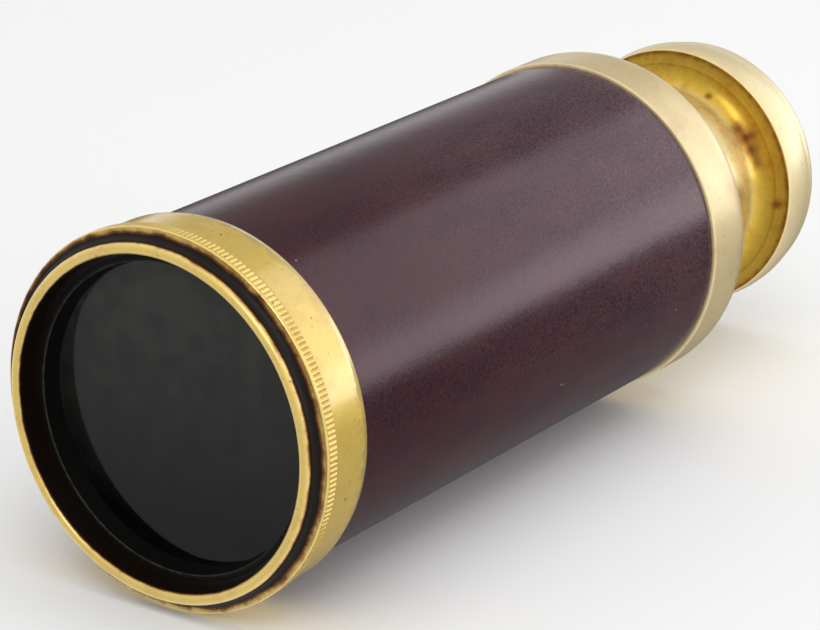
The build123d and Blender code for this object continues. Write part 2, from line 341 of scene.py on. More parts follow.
@dataclass(frozen=True)
class Knurl:
    """Straight axial teeth: between them the radius drops by depth * (1 - crest shape).

    The crest shape is a raised cosine of the angle, flattened by a power, and the teeth fade out
    over a short run at each end of the band.
    """

    teeth: int
    depth: float
    front: float
    back: float
    fade: float
    crest: float
    flatness: float = 0.32

    def depth_at(self, angle: np.ndarray, station: np.ndarray, radius: np.ndarray) -> np.ndarray:
        """How far the surface sinks at each grid point.

        Args:
            angle: Angles round the axis.
            station: Places along the axis.
            radius: Radii before the relief, so that only the crest is cut.

        Returns:
            The drop in radius, as an array.
        """
        shape = (0.5 + 0.5 * np.cos(self.teeth * angle)) ** self.flatness
        inside = np.clip(np.minimum(station - self.front, self.back - station) / self.fade, 0, 1)
        on_band = radius > self.crest - 2 * self.depth
        return self.depth * (1 - shape) * inside * on_band


# ---- Shader graphs ------------------------------------------------------------------


class Graph:
    """A material's node tree with one Principled shader, and short ways to add to it."""

    def __init__(self, name: str) -> None:
        """Start an empty material with a Principled shader wired to its output."""
        self.material = bpy.data.materials.new(name)
        self.material.use_nodes = True
        self.tree = self.material.node_tree
        self.tree.nodes.clear()
        self.shader = self.tree.nodes.new("ShaderNodeBsdfPrincipled")
        output = self.tree.nodes.new("ShaderNodeOutputMaterial")
        self.tree.links.new(self.shader.outputs["BSDF"], output.inputs["Surface"])

    def node(self, kind: str, **inputs: object) -> bpy.types.Node:
        """Add a node and set or wire its inputs by name, with spaces written as underscores.

        Args:
            kind: The node's type name without the "ShaderNode" that they all start with.
            **inputs: Values, or sockets to wire in.

        Returns:
            The new node.
        """
        made = self.tree.nodes.new("ShaderNode" + kind)
        for name, value in inputs.items():
            self.put(made.inputs[name.replace("_", " ")], value)
        return made

    def put(self, socket: Socket, value: object) -> None:
        """Wire a socket into another, or set its value."""
        if isinstance(value, Socket):
            self.tree.links.new(value, socket)
        else:
            socket.default_value = value

    def surface(self, **inputs: object) -> None:
        """Set or wire inputs of the Principled shader by name."""
        for name, value in inputs.items():
            self.put(self.shader.inputs[name.replace("_", " ")], value)

    def place(self, scale: tuple[float, float, float] = (1.0, 1.0, 1.0)) -> Socket:
        """Object coordinates in millimetres, stretched by a scale.

        Args:
            scale: Factors along X, Y and Z.

        Returns:
            The vector socket.
        """
        source = self.node("TexCoord")
        factors = tuple(s / MM for s in scale)
        return self.node("Mapping", Vector=source.outputs["Object"], Scale=factors).outputs["Vector"]

    def noise(self, vector: Socket, size: float, detail: float = 2.0, rough: float = 0.5) -> Socket:
        """Smooth noise with features of about the given size.

        Args:
            vector: Coordinates in millimetres.
            size: Size of a feature in millimetres.
            detail: Number of finer layers.
            rough: Weight of the finer layers.

        Returns:
            The noise, from 0 to 1.
        """
        made = self.node("TexNoise", Vector=vector, Scale=1 / size, Detail=detail, Roughness=rough)
        return made.outputs["Fac"]

    def specks(self, vector: Socket, spacing: float, size: float) -> Socket:
        """Round specks, one in each cell of a random lattice, fading from 1 to 0 at their edge.

        Args:
            vector: Coordinates in millimetres.
            spacing: Mean distance between specks.
            size: Radius of a speck.

        Returns:
            The mask, from 0 to 1.
        """
        cells = self.node("TexVoronoi", Vector=vector, Scale=1 / spacing)
        return self.remap(cells.outputs["Distance"], 0.4 * size / spacing, size / spacing, 1.0, 0.0)

    def near(self, vector: Socket, place: Place, size: float) -> Socket:
        """A round mask that fades from 1 at a point to 0 at some distance from it.

        Args:
            vector: Coordinates in millimetres.
            place: The point, in millimetres.
            size: The distance, in millimetres.

        Returns:
            The mask.
        """
        made = self.tree.nodes.new("ShaderNodeVectorMath")
        made.operation = "DISTANCE"
        self.put(made.inputs[0], vector)
        made.inputs[1].default_value = place
        return self.remap(made.outputs["Value"], 0.0, size, 1.0, 0.0)

    def remap(self, value: Socket, low: float, high: float, start: float, end: float) -> Socket:
        """Carry the range from low to high onto start to end, without going past its ends.

        Args:
            value: The number to carry over.
            low: Value that gives start.
            high: Value that gives end.
            start: Result at the low value.
            end: Result at the high value.

        Returns:
            The result's socket.
        """
        ends = {"From_Min": low, "From_Max": high, "To_Min": start, "To_Max": end}
        return self.node("MapRange", Value=value, **ends).outputs["Result"]

    def blend(self, factor: object, first: object, second: object) -> Socket:
        """Mix two colours.

        Args:
            factor: Share of the second colour, a number or a socket.
            first: A colour or a socket.
            second: A colour or a socket.

        Returns:
            The colour socket.
        """
        made = self.tree.nodes.new("ShaderNodeMix")
        made.data_type = "RGBA"
        self.put(made.inputs[0], factor)
        for socket, value in ((made.inputs[6], first), (made.inputs[7], second)):
            self.put(socket, (*value, 1.0) if isinstance(value, tuple) else value)
        return made.outputs[2]

    def sum(self, first: object, second: object, operation: str = "ADD") -> Socket:
        """Work out one arithmetic step on two numbers or sockets.

        Args:
            first: A number or a socket.
            second: A number or a socket.
            operation: Blender's name for the step.

        Returns:
            The result's socket.
        """
        made = self.tree.nodes.new("ShaderNodeMath")
        made.operation = operation
        self.put(made.inputs[0], first)
        self.put(made.inputs[1], second)
        return made.outputs[0]

    def times(self, first: object, second: object) -> Socket:
        """Multiply two numbers or sockets."""
        return self.sum(first, second, "MULTIPLY")

    def axis(self, vector: Socket, name: str) -> Socket:
        """One coordinate of a vector, X, Y or Z."""
        return self.node("SeparateXYZ", Vector=vector).outputs[name]

    def tone(self) -> Socket:
        """The piece's own tone attribute."""
        made = self.tree.nodes.new("ShaderNodeAttribute")
        made.attribute_name = TONE
        return made.outputs["Fac"]

    def turning_lines(self, spacing: float) -> Socket:
        """Fine lines left by the lathe: noise that changes only along the profile.

        Args:
            spacing: Mean distance between lines in millimetres.

        Returns:
            The height of the lines, from 0 to 1.
        """
        source = self.tree.nodes.new("ShaderNodeUVMap")
        source.uv_map = LENGTH_MAP
        flat = self.node("Mapping", Vector=source.outputs["UV"], Scale=(0.0, 1.0, 1.0))
        return self.noise(flat.outputs["Vector"], spacing, detail=3.0, rough=0.7)

    def bump(self, height: Socket, depth: float) -> None:
        """Give the shader a bumped normal.

        Args:
            height: The relief, from 0 to 1.
            depth: Its depth in millimetres.
        """
        made = self.node("Bump", Height=height, Distance=depth * MM, Strength=1.0)
        self.surface(Normal=made.outputs["Normal"])


# ---- Finishes -----------------------------------------------------------------------


@dataclass(frozen=True)
class Stain:
    """A soft dark spot on the surface, round a point, in millimetres."""

    place: Place
    size: float
    strength: float


@dataclass(frozen=True)
class Brass:
    """Turned brass under thin clear lacquer, with tarnish clouds, pits and lathe lines.

    Haze covers it where the tone attribute says, broken up as far as patchy goes. Where a pale
    colour is given it takes the base colour's place, up to the run of stations over which it ends:
    a painted highlight, standing in for a bright reflection.
    """

    name: str
    colour: Colour
    tarnish: Colour
    haze: Colour
    roughness: float
    pit: Colour = (0.22, 0.13, 0.02)
    rust: Colour = (0.34, 0.105, 0.008)
    stain_heart: Colour = (0.07, 0.020, 0.003)
    metal: float = 0.85
    clouds: float = 0.3
    cloud_size: float = 5.0
    patchy: float = 1.0
    pits: float = 0.0
    line_depth: float = 0.0006
    coat: float = 1.0
    coat_roughness: float = 0.16
    coat_index: float = 2.0
    stains: tuple[Stain, ...] = ()
    # pale: a painted highlight colour, laid over the base colour up to pale_run
    pale: Colour | None = None
    pale_run: Point = (0.0, 1.0)

    def dress(self, graph: Graph) -> Socket:
        """Wire the brass into a graph.

        Args:
            graph: The graph to add to.

        Returns:
            The socket of the brass colour, for finishes that lay something over it.
        """
        place = graph.place()
        clouds = graph.noise(place, self.cloud_size, 4.0, 0.6)
        base: object = self.colour
        # Painted highlight: the pale colour, laid on up to a run of stations, stands in for a bright
        # reflection.
        if self.pale is not None:
            highlight_share = graph.remap(graph.axis(place, "Y"), *self.pale_run, 0.0, 1.0)
            base = graph.blend(highlight_share, self.pale, self.colour)
        colour = graph.blend(graph.remap(clouds, 0.5, 0.72, 0.0, self.clouds), base, self.tarnish)
        fine = graph.noise(place, 0.5, 3.0, 0.6)
        colour = graph.blend(graph.remap(fine, 0.4, 0.8, 0.0, 0.22), colour, self.tarnish)
        patches = graph.remap(graph.noise(place, 1.1, 3.0), 0.42, 0.62, 1.0 - self.patchy, 1.0)
        colour = graph.blend(graph.times(graph.tone(), patches), colour, self.haze)
        if self.pits > 0:
            holes = graph.specks(place, 1.5, 0.26)
            chosen = graph.remap(graph.noise(place, 2.3, 1.0), 0.52, 0.6, 0.0, self.pits)
            colour = graph.blend(graph.times(holes, chosen), colour, self.pit)
        for stain in self.stains:
            spot = graph.near(place, stain.place, stain.size)
            depth = graph.times(spot, graph.remap(clouds, 0.3, 0.7, 0.7, 1.2))
            rust = graph.remap(depth, 0.0, 0.7, 0.0, stain.strength)
            colour = graph.blend(rust, colour, self.rust)
            heart = graph.remap(depth, 0.35, 0.9, 0.0, stain.strength)
            colour = graph.blend(heart, colour, self.stain_heart)
        lines = graph.turning_lines(0.09)
        dull = graph.remap(clouds, 0.3, 0.7, self.roughness * 0.85, self.roughness * 1.2)
        shade = graph.sum(dull, graph.times(graph.sum(lines, 0.5, "SUBTRACT"), 0.12))
        graph.surface(
            Base_Color=colour,
            Metallic=self.metal,
            Roughness=shade,
            Coat_Weight=self.coat,
            Coat_Roughness=self.coat_roughness,
            Coat_IOR=self.coat_index,
        )
        graph.bump(lines, self.line_depth)
        return colour

    def material(self) -> Material:
        """Make the finish's material.

        Returns:
            The material.
        """
        graph = Graph(self.name)
        self.dress(graph)
        return graph.material


@dataclass(frozen=True)
class PatinatedBrass:
    """Brass whose tone attribute turns it to a black patina, through a thin brown fringe.

    The patina's edge is ragged with noise, and it spreads further towards the far side, at -X,
    away from the lights: painted shade.
    """

    name: str
    brass: Brass
    fringe: Colour = (0.24, 0.075, 0.012)
    black: Colour = (0.007, 0.0034, 0.0015)

    def material(self) -> Material:
        """Make the finish's material.

        Returns:
            The material.
        """
        graph = Graph(self.name)
        place = graph.place()
        metal = self.brass.dress(graph)
        uneven = graph.sum(graph.noise(place, 2.4, 5.0, 0.65), 0.5, "SUBTRACT")
        # Painted shade: more patina on the side away from the lights, at -X.
        far_side_shade = graph.remap(graph.axis(place, "X"), -6.0, -20.0, 1.0, 1.9)
        cover = graph.sum(graph.times(graph.tone(), far_side_shade), graph.times(uneven, 0.8))
        brown = graph.blend(graph.remap(cover, 0.2, 0.48, 0.0, 1.0), metal, self.fringe)
        colour = graph.blend(graph.remap(cover, 0.42, 0.72, 0.0, 1.0), brown, self.black)
        graph.surface(
            Base_Color=colour,
            Metallic=graph.remap(cover, 0.35, 0.65, self.brass.metal, 0.0),
            Roughness=graph.remap(cover, 0.4, 0.7, self.brass.roughness, 0.4),
            Coat_Weight=graph.remap(cover, 0.2, 0.5, self.brass.coat, 0.0),
            IOR=1.3,
        )
        return graph.material


@dataclass(frozen=True)
class Lacquer:
    """Dark maroon lacquer, finely mottled, with a soft gloss, dust specks and a pale bloom."""

    name: str
    colour: Colour = (0.068, 0.015, 0.017)
    deep: Colour = (0.008, 0.008, 0.016)
    warm: Colour = (0.075, 0.020, 0.026)
    fleck: Colour = (0.026, 0.024, 0.030)
    speck: Colour = (0.45, 0.40, 0.38)
    bloom: Colour = (0.20, 0.15, 0.17)
    roughness: float = 0.2

    def material(self) -> Material:
        """Make the finish's material.

        Returns:
            The material.
        """
        graph = Graph(self.name)
        place = graph.place()
        grain = graph.noise(place, 0.34, 3.0, 0.7)
        drift = graph.noise(graph.place((1.0, 0.35, 1.0)), 5.0, 2.0)
        colour = graph.blend(graph.remap(grain, 0.3, 0.7, 0.0, 1.0), self.deep, self.colour)
        flecks = graph.remap(graph.noise(place, 0.8, 4.0, 0.75), 0.48, 0.7, 0.0, 0.65)
        colour = graph.blend(flecks, colour, self.fleck)
        warm = graph.blend(graph.remap(drift, 0.35, 0.65, 0.0, 0.35), colour, self.warm)
        dots = graph.specks(place, 2.6, 0.16)
        chosen = graph.remap(graph.noise(place, 4.0, 1.0), 0.62, 0.66, 0.0, 0.8)
        marks = graph.blend(graph.times(dots, chosen), warm, self.speck)
        graph.surface(
            Base_Color=graph.blend(self.bloom_share(graph, grain, drift), marks, self.bloom),
            Roughness=graph.remap(grain, 0.3, 0.7, self.roughness * 0.8, self.roughness * 1.25),
            IOR=1.5,
            Specular_Tint=(1.0, 0.81, 0.90, 1.0),
        )
        graph.bump(graph.sum(grain, graph.noise(place, 1.6, 2.0)), 0.016)
        return graph.material

    def bloom_share(self, graph: Graph, grain: Socket, drift: Socket) -> Socket:
        """How much pale bloom is laid on: more towards the top of the tube and towards the eye end.

        Args:
            graph: The graph to add to.
            grain: Fine noise that mottles the bloom.
            drift: Slow noise that breaks the bloom up.

        Returns:
            The share of bloom.
        """
        parts = graph.node("SeparateXYZ", Vector=graph.place())
        along = graph.remap(parts.outputs["Y"], 25.0, 90.0, 0.0, 1.0)
        upward = graph.remap(parts.outputs["Z"], -8.0, 20.0, 0.08, 0.22)
        share = graph.times(along, upward)
        share = graph.times(share, graph.remap(drift, 0.3, 0.7, 0.7, 1.2))
        return graph.times(share, graph.remap(grain, 0.35, 0.65, 0.25, 1.75))


@dataclass(frozen=True)
class MattBlack:
    """Matt black oxide, showing dull metal where the tone attribute marks an edge: wear on the eye
    stop's hole, and a painted highlight on the retaining ring's front corner.
    """

    name: str
    colour: Colour = (0.0035, 0.0034, 0.0030)
    wear_and_glint: Colour = (0.04, 0.036, 0.03)
    dust: Colour = (0.02, 0.02, 0.021)
    roughness: float = 0.45
    sheen: float = 0.1

    def material(self) -> Material:
        """Make the finish's material.

        Returns:
            The material.
        """
        graph = Graph(self.name)
        place = graph.place()
        scuffs = graph.noise(place, 0.7, 4.0, 0.65)
        # The tone marks both the painted highlight on the retaining ring's front corner and the worn
        # edge of the eye stop's hole.
        wear_and_glint_share = graph.times(graph.tone(), graph.remap(scuffs, 0.35, 0.6, 0.25, 1.0))
        dusty = graph.blend(graph.remap(scuffs, 0.5, 0.8, 0.0, 0.2), self.colour, self.dust)
        graph.surface(
            Base_Color=graph.blend(wear_and_glint_share, dusty, self.wear_and_glint),
            Roughness=graph.remap(scuffs, 0.3, 0.7, self.roughness * 0.85, self.roughness * 1.15),
            Specular_IOR_Level=self.sheen,
        )
        graph.bump(graph.turning_lines(0.12), 0.001)
        return graph.material


@dataclass(frozen=True)
class Glass:
    """Clear or tinted glass, polished, with faint dust and, where given, a dusty film that grows
    towards the top as a painted reflection.
    """

    name: str
    tint: Colour = (0.93, 0.97, 0.95)
    roughness: float = 0.02
    index: float = 1.5
    passes: float = 1.0
    painted_reflection_film: Colour | None = None

    def material(self) -> Material:
        """Make the finish's material.

        Returns:
            The material.
        """
        graph = Graph(self.name)
        place = graph.place()
        dust = graph.noise(place, 3.0, 4.0, 0.7)
        colour: object = (*self.tint, 1.0)
        if self.painted_reflection_film is not None:
            # Painted reflection: the film, mottled by the dust, grows towards the top, standing in for
            # a brighter reflection on the upper glass.
            cover = graph.times(graph.remap(graph.axis(place, "Z"), -14.0, 18.0, 0.0, 1.0), dust)
            colour = graph.blend(cover, self.tint, self.painted_reflection_film)
        graph.surface(
            Base_Color=colour,
            Roughness=graph.remap(dust, 0.4, 0.8, self.roughness, self.roughness + 0.06),
            IOR=self.index,
            Transmission_Weight=self.passes,
        )
        return graph.material


@dataclass(frozen=True)
class Silvering:
    """Silvered mirror glass with slight ripple."""

    name: str
    colour: Colour = (0.86, 0.88, 0.88)

    def material(self) -> Material:
        """Make the finish's material.

        Returns:
            The material.
        """
        graph = Graph(self.name)
        ripple = graph.noise(graph.place(), 9.0, 2.0)
        graph.surface(
            Base_Color=(*self.colour, 1.0),
            Metallic=1.0,
            Roughness=graph.remap(ripple, 0.3, 0.7, 0.02, 0.06),
        )
        return graph.material


@dataclass(frozen=True)
class Fibre:
    """Felt, card or rubber: a soft dull surface with a fine fibre or grain."""

    name: str
    colour: Colour
    grain: float
    lift: float
    roughness: float = 0.9

    def material(self) -> Material:
        """Make the finish's material.

        Returns:
            The material.
        """
        graph = Graph(self.name)
        fibres = graph.noise(graph.place((1.0, 0.4, 1.0)), self.grain, 4.0, 0.7)
        light = tuple(min(1.0, c * 1.8 + 0.01) for c in self.colour)
        graph.surface(
            Base_Color=graph.blend(graph.remap(fibres, 0.35, 0.7, 0.0, 1.0), self.colour, light),
            Roughness=self.roughness,
        )
        graph.bump(fibres, self.lift)
        return graph.material


GOLD = Brass(
    "collar_brass",
    colour=(0.94, 0.67, 0.13),
    tarnish=(0.60, 0.34, 0.04),
    haze=(0.50, 0.38, 0.24),
    roughness=0.44,
    metal=0.62,
    clouds=0.42,
    pits=1.0,
)
SATIN = Brass(
    "satin_brass",
    colour=(0.88, 0.71, 0.37),
    tarnish=(0.60, 0.38, 0.20),
    haze=(0.70, 0.58, 0.48),
    roughness=0.48,
    metal=0.6,
    clouds=0.5,
    cloud_size=5.0,
    pits=0.35,
    coat_roughness=0.3,
    coat_index=1.7,
)
FLANGE = replace(SATIN, name="flange_brass", colour=(0.97, 0.82, 0.46), tarnish=(0.78, 0.58, 0.34))
POLISHED = Brass(
    "polished_brass",
    colour=(0.84, 0.55, 0.065),
    tarnish=(0.50, 0.20, 0.02),
    # The haze is tarnish on the eyepiece's front face, and also a painted shade line at its outer edge.
    haze=(0.20, 0.065, 0.003),
    # The pale colour paints a bright reflection on the neck, fading out where the cove begins.
    pale=(1.0, 0.90, 0.49),
    pale_run=(112.6, 115.0),
    roughness=0.34,
    metal=0.95,
    clouds=0.5,
    cloud_size=3.5,
    patchy=0.2,
    coat=0.15,
    coat_roughness=0.15,
    coat_index=1.6,
    stains=(
        Stain((12.2, 115.2, 8.2), 2.3, 0.95),
        Stain((10.9, 114.9, 9.5), 2.0, 0.6),
        Stain((13.0, 115.3, 6.6), 2.1, 0.75),
        Stain((13.8, 115.4, 4.9), 1.5, 0.4),
        Stain((6.0, 115.2, 13.2), 0.9, 0.55),
        Stain((16.7, 116.5, -1.0), 1.1, 0.5),
    ),
)
SMOKED = Glass(
    "smoked_glass",
    tint=(0.006, 0.006, 0.005),
    roughness=0.05,
    index=1.38,
    passes=0.8,
    # The film paints the brighter reflection on the upper part of the dark glass.
    painted_reflection_film=(0.26, 0.26, 0.24),
)


class Finishes:
    """Every material of the object, made once and shared by the pieces."""

    def __init__(self) -> None:
        """Make the materials."""
        self.brass = GOLD.material()
        self.satin = SATIN.material()
        self.flange = FLANGE.material()
        self.polished = POLISHED.material()
        self.patinated = PatinatedBrass("patinated_brass", GOLD).material()
        self.lacquer = Lacquer("maroon_lacquer").material()
        self.black = MattBlack("matt_black").material()
        self.smoked = SMOKED.material()
        self.clear = Glass("clear_glass").material()
        self.mirror = Silvering("silvered_mirror").material()
        self.felt = Fibre("felt", (0.030, 0.030, 0.034), 0.35, 0.08).material()
        self.card = Fibre("black_card", (0.018, 0.018, 0.018), 0.5, 0.02, 0.8).material()
        self.rubber = Fibre("rubber_band", (0.020, 0.020, 0.020), 0.9, 0.01, 0.55).material()


# ---- Sub-assemblies -----------------------------------------------------------------


class Body(Enum):
    """The rigid bodies that pieces ride on."""

    BARREL = "barrel"
    CELL = "object_cell"
    EYEPIECE = "eyepiece"


@dataclass
class Assembly:
    """A group of pieces that ride on one body."""

    finishes: Finishes
    body: Body = Body.BARREL

    @staticmethod
    def extent(node: str) -> tuple[float, float, float]:
        """A node's outer radius, and its front and back stations."""
        low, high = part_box(node)
        return high.x, low.y, high.y

    def fit(self, shape: Turned, finish: Material, node: str, slot: str) -> bpy.types.Object:
        """Build a turned piece, dress it and let it stand for a node of the frame.

        Args:
            shape: The surface to build.
            finish: Its material.
            node: The node that it replaces.
            slot: Not used.

        Returns:
            The finished piece.
        """
        piece = shape.build()
        piece.data.materials.append(finish)
        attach(piece, self.body.value)
        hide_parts(node)
        log.info("%s: %d faces", shape.name, len(piece.data.polygons))
        return piece

    def dress(self, node: str, finish: Material) -> None:
        """Give a node of the frame that stays as it is its material.

        Args:
            node: The node's name.
            finish: Its material.
        """
        part = FRAME["nodes"][node]
        part.data.materials.clear()
        part.data.materials.append(finish)
        log.info("%s: kept from the frame", node)


CHIP_TINTS: dict[str, Colour] = {
    "red": (0.85, 0.04, 0.03),
    "amber": (0.95, 0.50, 0.04),
    "green": (0.05, 0.60, 0.16),
    "blue": (0.05, 0.18, 0.80),
}


@dataclass
class ObjectCell(Assembly):
    """The knurled ring at the front, the windows in it and the chips between them."""

    body: Body = Body.CELL
    lip_width: float = 1.4 * MM
    lip_length: float = 0.85 * MM
    recess_radius: float = 20.6 * MM
    recess_depth: float = 2.9 * MM
    cove_length: float = 1.09 * MM
    cove_edge_drop: float = 0.16 * MM
    cove_hollow: Point = (0.3, 0.8)
    edge_round: float = 0.32 * MM
    edge_middle: Point = (0.04 * MM, 0.12 * MM)
    knurl_front: float = 2.28 * MM
    knurl_fade: float = 0.12 * MM
    teeth: int = 226
    tooth_depth: float = 0.15 * MM
    head_length: float = 3.85 * MM
    back_chamfer: float = 0.15 * MM
    journal_radius: float = 20.9 * MM
    journal_back: float = 6.2 * MM
    journal_chamfer: float = 0.1 * MM
    tail_radius: float = 20.6 * MM
    bore_radius: float = 19.9 * MM
    seat_radius: float = 18.6 * MM
    window_bevel: float = 0.25 * MM
    ring_front_radius: float = 19.1 * MM
    ring_back_radius: float = 18.7 * MM
    ring_edge: float = 0.09 * MM

    def ring_outline(self, crest: float, tail_back: float, seat_front: float) -> Outline:
        """Outline of the knurled ring: lip, cove, rounded edge, knurl, and the tail behind.

        Args:
            crest: Radius of the knurl's crests.
            tail_back: Station of the tail's end.
            seat_front: Station of the rear window's seat.

        Returns:
            The closed outline, with a tone of 1 where the patina covers it.
        """
        half = self.lip_width / 2
        lip = (half, half)
        lip_radius = self.recess_radius + self.lip_width
        cove_back = self.lip_length + self.cove_length
        cove_radius = crest - self.cove_edge_drop
        cove_middle = (
            lip_radius + self.cove_hollow[0] * (cove_radius - lip_radius),
            self.lip_length + self.cove_hollow[1] * self.cove_length,
        )
        edge_middle = (crest - self.edge_middle[0], cove_back + self.edge_middle[1])
        outline = Outline(self.recess_radius, self.recess_depth)
        outline.to(station=1.3 * half, steps=3, tone=(1,))
        outline.to(station=half, steps=2, tone=(1, 0.8))
        outline.arc(lip, (180, 222), 7, (0.85, 0.5, 0.3, 0.12))
        outline.arc(lip, (222, 318), 11, (0.12, 0, 0, 0.12))
        outline.arc(lip, (318, 360), 4, (0.12, 0.3, 0.5))
        outline.to(station=self.lip_length, steps=2, tone=(0.5, 0.85))
        outline.bow(cove_middle, (cove_radius, cove_back), 16, (0.8, 1, 1, 1, 0.8, 0.5, 0.34, 0.2))
        outline.bow(edge_middle, (crest, cove_back + self.edge_round), 4, (0.2, 0.12, 0.05))
        outline.to(station=self.knurl_front, tone=(0.05,))
        outline.to(station=self.head_length - self.back_chamfer, steps=9)
        outline.to(crest - self.back_chamfer, self.head_length, 2)
        outline.to(self.journal_radius, steps=2, tone=(0, 1))
        outline.to(station=self.journal_back)
        outline.to(self.tail_radius, self.journal_back + self.journal_chamfer)
        outline.to(station=tail_back)
        outline.to(self.seat_radius)
        outline.to(station=seat_front, tone=(1,))
        outline.to(self.bore_radius, tone=(1,))
        outline.to(station=self.recess_depth, tone=(1,))
        return outline.to(self.recess_radius, tone=(1,))

    def build(self) -> None:
        """Build and dress the cell."""
        crest, tail_back = self.extent("cell_ring")[::2]
        knurl = Knurl(
            self.teeth, self.tooth_depth, self.knurl_front, self.head_length, self.knurl_fade, crest
        )
        outline = self.ring_outline(crest, tail_back, self.extent("rear_window")[2])
        ring = Turned("knurled_ring", outline, steps=Round.KNURLED, relief=knurl)
        self.fit(ring, self.finishes.patinated, "cell_ring", "brass")
        self.retaining_ring()
        self.disc("front_window", self.finishes.smoked, "smoked_glass")
        self.disc("rear_window", self.finishes.clear, "clear_glass")
        self.dress("chip_spacer", self.finishes.black)
        self.dress("thrust_ring", self.finishes.brass)
        for name, tint in CHIP_TINTS.items():
            glass = Glass(f"{name}_chip_glass", tint=tint, index=1.52)
            self.dress(f"glass_chips_{name}", glass.material())

    def retaining_ring(self) -> None:
        """Black ring in front of the dark glass, its bore narrowing towards the glass."""
        outer, front, back = self.extent("retaining_ring")
        outline = Outline(outer, back)
        outline.to(station=front)
        outline.to(self.ring_front_radius + self.ring_edge, steps=4, tone=(0, 0.15))
        # Tone 1 on the bore's front corner paints a highlight along that edge.
        outline.to(self.ring_front_radius, front + self.ring_edge, tone=(1,))
        outline.to(station=front + 2 * self.ring_edge, tone=(0.9,))
        outline.to(self.ring_back_radius, back, 8)
        outline.to(outer)
        ring = Turned("retaining_ring_visual", outline)
        self.fit(ring, self.finishes.black, "retaining_ring", "black")

    def disc(self, node: str, finish: Material, slot: str) -> None:
        """Fit a flat glass disc with bevelled rims over a node's box.

        Args:
            node: The node that it fills and replaces.
            finish: Its glass.
            slot: Passed on to fit, which does not use it.
        """
        radius, front, back = self.extent(node)
        bevel = self.window_bevel
        outline = Outline(0.0, front)
        outline.to(radius - bevel, steps=14)
        outline.to(radius, front + bevel, 2)
        outline.to(station=back - bevel, steps=2)
        outline.to(radius - bevel, back, 2)
        outline.to(0.0, steps=14)
        self.fit(Turned(f"{node}_visual", outline, Close.POLES), finish, node, slot)


